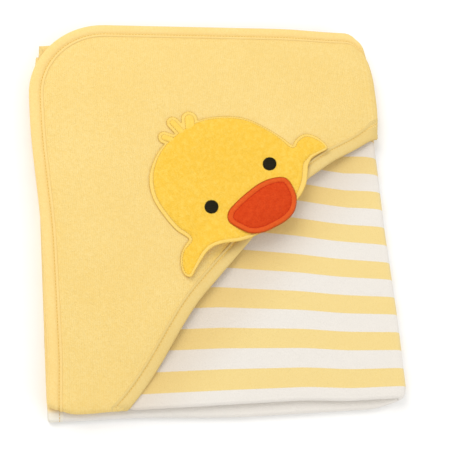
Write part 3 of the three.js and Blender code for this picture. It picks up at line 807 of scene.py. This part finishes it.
def tape_rings(path, inward, outer, inner, puff, puff_under):
    """The tape along a flat path, as rings of points and their place on the tape.
    outer and inner are the surfaces it covers."""
    over = []
    under = []
    for reach, rise in TAPE:
        s, r = within(path + reach * MM * inward)
        over.append((s, r, outer(s, r) + rise * MM * puff))
        under.append((s, r, inner(s, r) - rise * MM * puff_under))
    s, r = path.T
    section = over + [(s, r, (outer(s, r) + inner(s, r)) / 2)] + under[::-1]
    run = run_along(path)
    rings = [fold(*line) for line in section]
    places = [np.stack([run, np.full_like(run, k * TAPE_STEP)], axis=-1) for k in range(len(section))]
    return np.stack(rings, axis=1), np.stack(places, axis=1)


def perimeter():
    """The towel's flat outline, anticlockwise, and the way in from each point."""
    w, h, c = HALF_WIDTH, HALF_LENGTH, HOOD_CORNER
    clear = 14 * MM  # the straight sides stop this far from the square corners
    nick = 1.2 * MM  # and each of these is cut back by this much
    corner_points = 19  # round the hood's corner
    front = lines(-w, w, GRID, RIGHT_ARC, TAPE_STEPS)
    side = lines(-h, h, GRID, FRONT_ARC, TAPE_STEPS)
    points = []
    inward = []

    def add(point, into):
        points.append(point)
        inward.append(into)

    def corner(s, r):
        into = (-math.copysign(1, s), -math.copysign(1, r))
        add((s + into[0] * nick, r + into[1] * nick), into)

    corner(-w, -h)
    for s in front[(front > -w + clear) & (front < w - clear)]:
        add((s, -h), (0, 1))
    corner(w, -h)
    for r in side[(side > -h + clear) & (side < h - clear)]:
        add((w, r), (-1, 0))
    corner(w, h)
    for s in front[(front < w - clear) & (front > -w + c)][::-1]:
        add((s, h), (0, -1))
    for angle in np.radians(np.linspace(90, 180, corner_points)):
        across, along = math.cos(angle), math.sin(angle)
        add((-w + c + c * across, h - c + c * along), (-across, -along))
    for r in side[(side < h - c) & (side > -h + clear)][::-1]:
        add((-w, r), (1, 0))
    return np.array(points, float), np.array(inward, float)


def towel_outer(s, r):
    """What the edge tape covers: the hood where there is one, or the cloth."""
    return mix(cloth_outer(s, r), hood_high(s, r), ramp(mouth_distance(s, r), -3, 3))


def on_top(path):
    """1 along the part of a flat path that lies on top of the folded towel."""
    s, r = path.T
    return ramp(s, 2, -8) * ramp(r + FRONT_ARC / 2, 0, 5)


def painted_highlight_at(s, r):
    """1 where the tape carries a painted highlight: at the lower pair's corner of the front fold."""
    return ramp(r, -13, -6) * ramp(r, 16, 8) * ramp(s - HALF_WIDTH, -20, -12)


def make_edge_binding():
    path, inward = perimeter()
    puff = mix(TAPE_FLAT, 1.0, on_top(path))
    rings, places = tape_rings(path, inward, towel_outer, cloth_inner, puff, TAPE_FLAT)
    # its Depth is the share of the painted highlight
    return swept_mesh("edge_binding", rings, places, binding_knit, closed=True, depth=painted_highlight_at(*path.T))


def mouth_path():
    """The mouth's flat line, between the towel's bound edges."""
    reach = 0.34  # m, past both ends of the mouth
    t = np.arange(-reach, reach, 3 * MM)
    bow = mouth_bow(t)
    s = (MOUTH_MIDDLE - MOUTH_REACH) / 2 + ROOT_HALF * (t - bow)
    r = (MOUTH_MIDDLE + MOUTH_REACH) / 2 + ROOT_HALF * (t + bow)
    return np.stack([s, r], axis=-1)[edge_distance(s, r) > 2 * MM]


def normals_of(path):
    """Unit vectors to the left of a flat path."""
    ahead = np.gradient(path, axis=0)
    ahead /= np.linalg.norm(ahead, axis=1)[:, None]
    return np.stack([-ahead[:, 1], ahead[:, 0]], axis=-1)


def make_mouth_binding():
    path = mouth_path()
    free = ramp(edge_distance(*path.T), 0, 18)
    puff = mix(TAPE_FLAT, 0.8, free * on_top(path))
    rings, places = tape_rings(path, normals_of(path), hood_high, hood_low, puff, puff_under=0.15)
    return swept_mesh("mouth_binding", rings, places, mouth_knit_shaded, closed=False)


# ---------------------------------------------------------------- stitches

AROUND = 6  # points round a thread
STITCH = [(-1.0, 0.25), (-0.8, 0.75), (-0.35, 1.0), (0.35, 1.0), (0.8, 0.75), (1.0, 0.25)]  # place, girth
STITCH_DIP = 0.35  # how far a stitch's ends sink into the cloth, in widths
STITCH_FLAT = 0.75
GROOVE = 10.25 * MM  # where the tape's stitches lie, in from its edge
GROOVE_RISE = 0.1 * MM  # and their height over what the tape covers
TAPE_STITCH = (2.6, 0.5, 0.55)


def stitches(name, points, up, sizes, material):
    """Separate stitches along a run of points; up is the way out of the cloth, and
    sizes are a stitch's length, the gap after it and its width, in mm."""
    length, gap, width = (size * MM for size in sizes)
    run = run_along(points)
    count = int(run[-1] / (length + gap))
    starts = (np.arange(count) + 0.5) * run[-1] / count
    vertices = []
    faces = []
    uv = []

    def at(distance, values):
        return np.stack([np.interp(distance, run, values[:, k]) for k in range(3)], axis=-1)

    for start in starts:
        middle = at(start, points)
        ahead = at(start + length / 4, points) - at(start - length / 4, points)
        ahead /= max(np.linalg.norm(ahead), TINY)
        out = at(start, up)
        out /= np.linalg.norm(out)
        over = np.cross(ahead, out)
        faces += tube_faces(len(vertices), len(STITCH), AROUND)
        for place, girth in STITCH:
            centre = middle + ahead * place * length / 2 - out * width * STITCH_DIP * place * place
            for j in range(AROUND):
                angle = TAU * j / AROUND
                ring = over * math.cos(angle) + out * math.sin(angle) * STITCH_FLAT
                vertices.append(centre + ring * girth * width / 2)
                uv.append((start + place * length / 2, j * width / 2))
    return make_object(name, vertices, faces, np.array(uv), material)


def groove_run(path, inward):
    """The groove of the tape along a flat path, and the way out of the cloth there."""
    s, r = (path + GROOVE * inward).T
    top = towel_outer(s, r)
    return fold(s, r, top + GROOVE_RISE), fold(s, r, top + MM) - fold(s, r, top)


def make_edge_stitches():
    points, up = groove_run(*perimeter())
    points = np.vstack([points, points[:1]])
    up = np.vstack([up, up[:1]])
    return stitches("edge_stitches", points, up, TAPE_STITCH, yellow_thread)


def make_mouth_stitches():
    path = mouth_path()
    path = path[edge_distance(*path.T) > BINDING]
    points, up = groove_run(path, normals_of(path))
    return stitches("mouth_stitches", points, up, TAPE_STITCH, yellow_thread)


# ---------------------------------------------------------------- duck

# Chosen points of the duck's outlines, u and v in mm.
HEAD = [(-75.5, -9), (-79, 4), (-79.5, 20), (-76.5, 41), (-67, 57.5), (-50, 69.5), (-32, 75),
        (-8, 76), (12, 72), (32, 61), (47, 47), (57, 27), (63, 8), (64.5, 0), (66, -2.5)]
RIGHT_WING = [(68, -1), (73, 0.3), (82, -0.5), (88, -5.5), (92, -15), (91, -25.5), (81, -24.7)]
CHIN = [(72, -23.5), (64, -26), (57, -32), (49, -38.5), (38, -43.5), (26, -46), (14, -49.5), (0, -50.5),
        (-14, -48.5), (-25, -46.2), (-32.2, -44.3), (-42, -40.5), (-50.5, -35.5), (-58.5, -31), (-66, -28.8)]
LEFT_WING = [(-73, -29), (-82, -31.7), (-91, -34.8), (-98, -37), (-101, -33), (-100, -27),
             (-95, -19), (-87, -12.8), (-79, -10.2)]
BEAK = [(-36, -20), (-30, -13.5), (-18, -11), (0, -10.3), (14, -11.2), (27, -15.5), (35.5, -22.5),
        (35, -32), (30, -43), (20, -51), (8, -53), (-6, -51), (-18, -48), (-28, -42), (-33, -34)]
# Each petal of the duck's hair: where its middle line starts, length, width, the
# width of the fleece on it and its turn from upright.
PETALS = {
    "hair_petal_left": (-21, 68, 20, 12, 5.5, 33),
    "hair_petal_middle": (-11.5, 70, 22, 12.5, 6, 3),
    "hair_petal_right": (-5, 68.5, 21, 16, 9, -37),
}
EYES = {"left_eye": (-38.9, 1.0), "right_eye": (33.9, -2.1)}
EYE_WIDTH = 14 * MM
EYE_HEIGHT = 12.5 * MM
OUTLINE_STEP = 1.2 * MM
FINGER_POINTS = 40


def finger(x, y, length, width, turn):
    """The outline of a strip with round ends, both within its length. All in mm."""
    angle = math.radians(90 + turn)
    half = width / 2
    reach = length - half
    t = np.linspace(0, TAU, FINGER_POINTS, endpoint=False)
    along = half * np.cos(t) + np.where(np.cos(t) > 0, reach, 0)
    across = half * np.sin(t)
    return MM * np.stack([x + along * math.cos(angle) - across * math.sin(angle),
                          y + along * math.sin(angle) + across * math.cos(angle)], axis=-1)


def petal_backing(x, y, length, width, fleece, turn):
    return finger(x, y, length, width, turn)


def petal_front(x, y, length, width, fleece, turn):
    return finger(x, y, length - (width - fleece) / 2, fleece, turn)


def rim_width(outline):
    """Backing that shows round the duck's front: more at the cheek, less on the wings."""
    u, v = outline.T
    cheek = ramp(u, 20, 50) * ramp(v, -12, -24) * ramp(u, 70, 62)
    left_wing = ramp(u, -76, -86) * ramp(v, -6, -14)
    right_wing = ramp(u, 70, 78) * ramp(v, -12, -20)
    crown = ramp(v, 20, 60) * ramp(u, -60, -30)
    temple = ramp(u, 30, 50) * ramp(v, -6, 4) * ramp(u, 66, 60)
    side = ramp(u, -55, -70) * ramp(v, -12, 0)
    less = 1.2 * left_wing + 1.4 * right_wing + 1.1 * np.maximum(crown, temple)
    return RIM + (2 * cheek + 0.9 * side - less) * MM


FACE = resample(spline(np.array(HEAD + RIGHT_WING + CHIN + LEFT_WING) * MM), OUTLINE_STEP)
FRONT = inset(FACE, rim_width(FACE))
BACKING = union_outline([FACE] + [petal_backing(*petal) for petal in PETALS.values()])
FLEECE_LINE = union_outline([FRONT] + [petal_front(*petal) for petal in PETALS.values()])
BEAK_LINE = resample(spline(np.array(BEAK) * MM), OUTLINE_STEP)


def duck_lift(u, v):
    """How far the free part of the duck stands off the hood."""
    sewn_to = FLAP_LINE - 20 * MM * ramp(u, -60, -100)
    free = np.clip(sewn_to - v, 0, None)
    curl = 7 * MM * ramp(free, 0, 28) * ramp(u, 20, -70)
    return free * FLAP_SLOPE + curl


def duck_point(u, v, height):
    """A point of the duck, height over the hood, in the shared frame."""
    x, y = duck_plan(u, v)
    base = hood_surface(x, y)
    # The free part leaves the hood along the line it is sewn on.
    held = hood_surface(*duck_plan(u, FLAP_LINE))
    ground = mix(base, np.maximum(base, held), ramp(FLAP_LINE - v, 0, 18))
    return np.stack([x, y, ground + duck_lift(u, v) + height], axis=-1)


def fill_outline(outline, step, rings):
    """Plan points and triangles inside an outline, with rows of points along it."""
    row = 0.866  # the distance between rows of a triangular grid, in steps
    margin = 0.6  # the outline's own step, and its distance from the grid, in steps
    edge = resample(outline, step * margin)
    inner = [inset(edge, amount) for amount in rings]
    low = edge.min(axis=0)
    high = edge.max(axis=0)
    gx = np.arange(low[0], high[0], step)
    gy = np.arange(low[1], high[1], step * row)
    grid = np.array([(x + (step / 2 if k % 2 else 0), y) for k, y in enumerate(gy) for x in gx])
    grid = grid[outline_distance(grid, edge) > rings[-1] + step * margin]
    points = np.vstack([edge] + inner + [grid])
    count = len(edge)
    borders = [(k, (k + 1) % count) for k in range(count)]
    found = delaunay_2d_cdt([Vector(p) for p in points], borders, [list(range(count))], 1, MERGE)
    vertices = np.array([tuple(v) for v in found[0]])
    return vertices, found[2], outline_distance(vertices, edge)


def pad(name, outline, step, rings, heights, material):
    """A closed piece over an outline. step and rings, its rows of points in from the
    edge, are in mm. heights(d, u, v) gives the heights of its lower and upper side
    over the hood, d being the distance in from the outline."""
    plan, triangles, depth = fill_outline(outline, step * MM, [ring * MM for ring in rings])
    depth = np.clip(depth, 0, None)
    u, v = plan.T
    low, high = heights(depth, u, v)
    vertices = np.vstack([duck_point(u, v, high), duck_point(u, v, low)])
    shift = len(plan)
    faces = []
    edges = []
    for a, b, c in triangles:
        ab = plan[b] - plan[a]
        ac = plan[c] - plan[a]
        if ab[0] * ac[1] < ab[1] * ac[0]:
            b, c = c, b
        faces.append((a, b, c))
        faces.append((c + shift, b + shift, a + shift))
        edges += [(a, b), (b, c), (c, a)]
    inside = set(edges)
    for a, b in edges:
        if (b, a) not in inside:
            faces.append((b, a, a + shift, b + shift))
    return make_object(name, vertices, faces, np.vstack([plan, plan]), material, np.tile(depth, 2))


def rounded(depth, radius):
    """0 at an edge, rising as a quarter round to 1."""
    t = np.clip(depth / radius, 0, 1)
    return np.sqrt(1 - (1 - t) ** 2)


def groove(depth, at, width):
    return np.exp(-((depth - at) / width) ** 2)


BACKING_TOP = SEAM_GAP + FLEECE_BACKING
FRONT_TOP = BACKING_TOP + FLEECE
FRONT_LOW = BACKING_TOP - 0.1 * MM  # the fleece sits a little in its backing
STITCH_IN = 0.9 * MM  # the duck's stitches, in from the edge of its front
FACE_STITCH = (2.4, 0.05, 0.8)
RIM_STITCH = (2.4, 0.05, 0.7)
BEAK_STITCH = (2.2, 0.4, 0.8)
BEAK_EDGE_STITCH = (1.6, 0.1, 0.9)
STITCH_RISE = 0.15 * MM


def front_height(depth):
    """Height of the duck's front over the hood, by the distance in from its edge."""
    puff = 1.0 * MM * ramp(depth, 2, 16)
    seam = 0.4 * MM * groove(depth, STITCH_IN, 0.6 * MM)
    return BACKING_TOP + FLEECE * rounded(depth, 2.2 * MM) + puff - seam


def face_height(points):
    """The same at plan points."""
    return front_height(np.clip(outline_distance(points, FRONT), 0, None))


def make_face():
    def heights(d, u, v):
        return FRONT_LOW, front_height(d)
    return pad("duck_face", FRONT, 2.2, [0.4, 0.9, 1.5, 2.2, 3.4], heights, duck_fleece)


def make_backing():
    def heights(d, u, v):
        turned = 0.9 * MM * groove(d, 2.0 * MM, 1.3 * MM) * ramp(duck_lift(u, v), 0, 3)
        thick = mix(0.2 * MM, FLEECE_BACKING, rounded(d, 0.7 * MM))
        return SEAM_GAP, SEAM_GAP + thick + 0.15 * MM * groove(d, 1.6 * MM, 0.9 * MM) + turned
    return pad("duck_backing", BACKING, 2.6, [0.3, 0.7, 1.2, 1.8, 2.5, 3.4], heights, hood_backing)


def stitch_line(outline):
    return resample(outline, 1.5 * MM)


def closed_row(name, line, height, sizes, material):
    """A row of stitches right round a line on the duck, at a height over the hood."""
    points = duck_point(*line.T, height)
    points = np.vstack([points, points[:1]])
    up = np.tile([0.0, 0.0, 1.0], (len(points), 1))
    return stitches(name, points, up, sizes, material)


def make_face_stitches():
    line = stitch_line(FLEECE_LINE)
    height = np.maximum(face_height(line), BACKING_TOP) + STITCH_RISE
    return closed_row("face_stitches", line, height, FACE_STITCH, gold_thread)


def make_rim_stitches():
    """The row that holds the duck's outer edge down to the hood."""
    line = stitch_line(inset(BACKING, 0.2 * MM))
    return closed_row("rim_stitches", line, BACKING_TOP, RIM_STITCH, gold_thread)


def make_petal(name, values):
    radius = values[4] * MM / 2

    def heights(d, u, v):
        return FRONT_LOW, BACKING_TOP + 1.1 * MM * rounded(d, radius)
    return pad(name, petal_front(*values), 1.2, [0.4, 0.9, 1.5], heights, petal_fleece)


def make_eye(name, x, y):
    """An eye filled with satin stitches laid side by side."""
    rows = 21
    steps = 9  # rings of points along a stitch
    thread_size = EYE_HEIGHT / rows * 0.62  # radius of a thread: they overlap a little
    end_size = 0.55 * thread_size
    dome_height = 0.9
    rise = 0.1  # both in mm
    upright = np.array([-math.sin(DUCK_TURN), math.cos(DUCK_TURN), 0])
    dome = 1 - np.linspace(-1, 1, steps) ** 2
    vertices = []
    faces = []
    uv = []
    for k in range(rows):
        level = (k + 0.5) / rows * 2 - 1
        bulge = math.sqrt(1 - level * level)
        half = EYE_WIDTH / 2 * bulge
        v = y * MM + level * EYE_HEIGHT / 2
        plan = np.stack([x * MM + np.linspace(-half, half, steps), np.full(steps, v)], axis=-1)
        lift = (dome_height * bulge * dome + rise) * MM
        spine = duck_point(*plan.T, face_height(plan) + lift)
        faces += tube_faces(len(vertices), steps, AROUND)
        for i in range(steps):
            size = end_size if i in (0, steps - 1) else thread_size
            for j in range(AROUND):
                angle = TAU * j / AROUND
                ring = upright * math.cos(angle) + np.array([0, 0, math.sin(angle)])
                vertices.append(spine[i] + ring * size)
                uv.append((plan[i][0], v + j * 0.1 * MM))
    return make_object(name, vertices, faces, np.array(uv), black_thread)


BEAK_IN = 4.8 * MM  # the beak's stitched line, in from its edge
BEAK_LOW = FRONT_TOP + 0.9 * MM
BEAK_EDGE = 0.3 * MM  # thickness of its very edge


def beak_height(d):
    edge = BEAK_EDGE + 1.7 * MM * rounded(d, 2.6 * MM)
    middle = 1.5 * MM * ramp(d - BEAK_IN, 0, 10)
    return BEAK_LOW + edge + middle - 0.8 * MM * groove(d, BEAK_IN, 0.8 * MM)


def make_beak():
    def heights(d, u, v):
        return BEAK_LOW + 1.5 * MM * ramp(d, 5, 8), beak_height(d)
    rings = [0.4, 1.0, 1.8, 2.8, 3.8, 4.4, 4.8, 5.3, 6.2]
    return pad("beak", BEAK_LINE, 2.0, rings, heights, beak_fleece)


def make_wadding():
    def heights(d, u, v):
        return BEAK_LOW, BEAK_LOW + BEAK_EDGE + 0.7 * MM * rounded(d, 2 * MM)
    return pad("beak_wadding_pad", inset(BEAK_LINE, 9 * MM), 3, [0.8, 1.8], heights, white_wadding)


def make_beak_stitches():
    line = stitch_line(inset(BEAK_LINE, BEAK_IN))
    return closed_row("beak_stitches", line, beak_height(BEAK_IN) + STITCH_RISE, BEAK_STITCH, orange_thread)


def make_beak_edge():
    """The close stitches that finish the beak's edge."""
    line = stitch_line(inset(BEAK_LINE, -0.4 * MM))
    return closed_row("beak_edge_stitches", line, BEAK_LOW + 0.5 * MM, BEAK_EDGE_STITCH, rust_thread)


# ---------------------------------------------------------------- camera and light

SOFT_WHITE = (1.0, 0.99, 0.97)


def facing(direction):
    """A turn that points an object's back along a direction."""
    return direction.to_track_quat("Z", "Y").to_matrix().to_4x4()


def make_camera():
    target = Vector((3.4 * MM, -13.2 * MM, 21.3 * MM))
    azimuth = math.radians(-44.45)
    elevation = math.radians(69.44)
    distance = 1.12
    roll = math.radians(41.43)
    back = Vector((math.sin(azimuth) * math.cos(elevation), -math.cos(azimuth) * math.cos(elevation),
                   math.sin(elevation)))
    data = bpy.data.cameras.new("camera")
    data.sensor_width = 36
    data.lens = 96
    camera = bpy.data.objects.new("camera", data)
    bpy.context.scene.collection.objects.link(camera)
    place = Matrix.Translation(target + back * distance)
    camera.matrix_world = place @ facing(back) @ Matrix.Rotation(roll, 4, "Z")
    bpy.context.scene.camera = camera


def make_light(name, place, size, power):
    data = bpy.data.lights.new(name, "AREA")
    data.shape = "DISK"
    data.size = size
    data.energy = power
    data.color = SOFT_WHITE
    light = bpy.data.objects.new(name, data)
    bpy.context.scene.collection.objects.link(light)
    light.matrix_world = Matrix.Translation(place) @ facing(Vector(place))


def make_studio():
    world = bpy.data.worlds.new("studio")
    world.use_nodes = True
    background = world.node_tree.nodes["Background"]
    background.inputs["Color"].default_value = (*SOFT_WHITE, 1)
    background.inputs["Strength"].default_value = 0.8
    bpy.context.scene.world = world
    bpy.context.scene.view_settings.view_transform = "Standard"
    make_light("key", (-0.9, 1.1, 1.5), 1.6, 21)
    make_light("fill", (1.2, -0.9, 1.0), 1.2, 6)

    nodes = Nodes("floor")
    place = nodes.add("ShaderNodeTexCoord").outputs["Object"]
    grain = nodes.noise(place, 60.0, 3.0)
    pale = nodes.blend(grain, (0.93, 0.93, 0.93, 1), (0.96, 0.96, 0.96, 1))
    nodes.put(nodes.shader.inputs["Base Color"], pale)
    nodes.shader.inputs["Roughness"].default_value = 0.8
    half = 4.0
    low = -0.2 * MM
    vertices = [(-half, -half, low), (half, -half, low), (half, half, low), (-half, half, low)]
    floor = make_object("floor", vertices, [(0, 1, 2, 3)], np.array(vertices)[:, :2], nodes.material)


# ---------------------------------------------------------------- assembly

def across_book(piece, *nodes):
    """A piece that runs from the upper half of the towel to the lower half."""
    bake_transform(piece)
    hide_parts(*nodes)


def across_flap(piece, *nodes):
    """A piece that runs from the sewn part of the duck to its free part."""
    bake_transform(piece)
    if nodes:
        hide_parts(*nodes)
    return piece


def on_body(piece, body, *nodes):
    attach(piece, body)
    if nodes:
        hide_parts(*nodes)
    return piece


make_camera()
make_studio()

cloth = make_cloth()
hood = make_hood()
edge_binding = make_edge_binding()
mouth_binding = make_mouth_binding()
edge_stitches = make_edge_stitches()
mouth_stitches = make_mouth_stitches()
duck_face = make_face()
duck_backing = make_backing()
face_stitches = make_face_stitches()
rim_stitches = make_rim_stitches()
beak = make_beak()
beak_wadding = make_wadding()
beak_stitches = make_beak_stitches()
beak_edge_stitches = make_beak_edge()

across_book(cloth, "lower_cloth", "upper_cloth")
across_book(hood, "hood_panel", "hood_tail")
across_book(edge_binding, "lower_edge_binding", "second_layer_binding", "hood_edge_binding")
across_book(mouth_binding, "hood_mouth_binding", "hood_tail_binding")
across_book(edge_stitches, "edge_topstitch")
across_book(mouth_stitches, "mouth_topstitch")
across_flap(duck_face, "face_front", "flap_front")
across_flap(duck_backing, "face_backing", "flap_backing")
across_flap(face_stitches, "face_stitching")
across_flap(rim_stitches)
on_body(beak, "duck_flap", "beak_cover")
on_body(beak_wadding, "duck_flap", "beak_wadding")
on_body(beak_stitches, "duck_flap", "beak_stitching")
on_body(beak_edge_stitches, "duck_flap")
petals = [on_body(make_petal(name + "_fleece", values), "upper_half", name)
          for name, values in PETALS.items()]
eyes = [across_flap(make_eye(name + "_satin", *values), name) for name, values in EYES.items()]
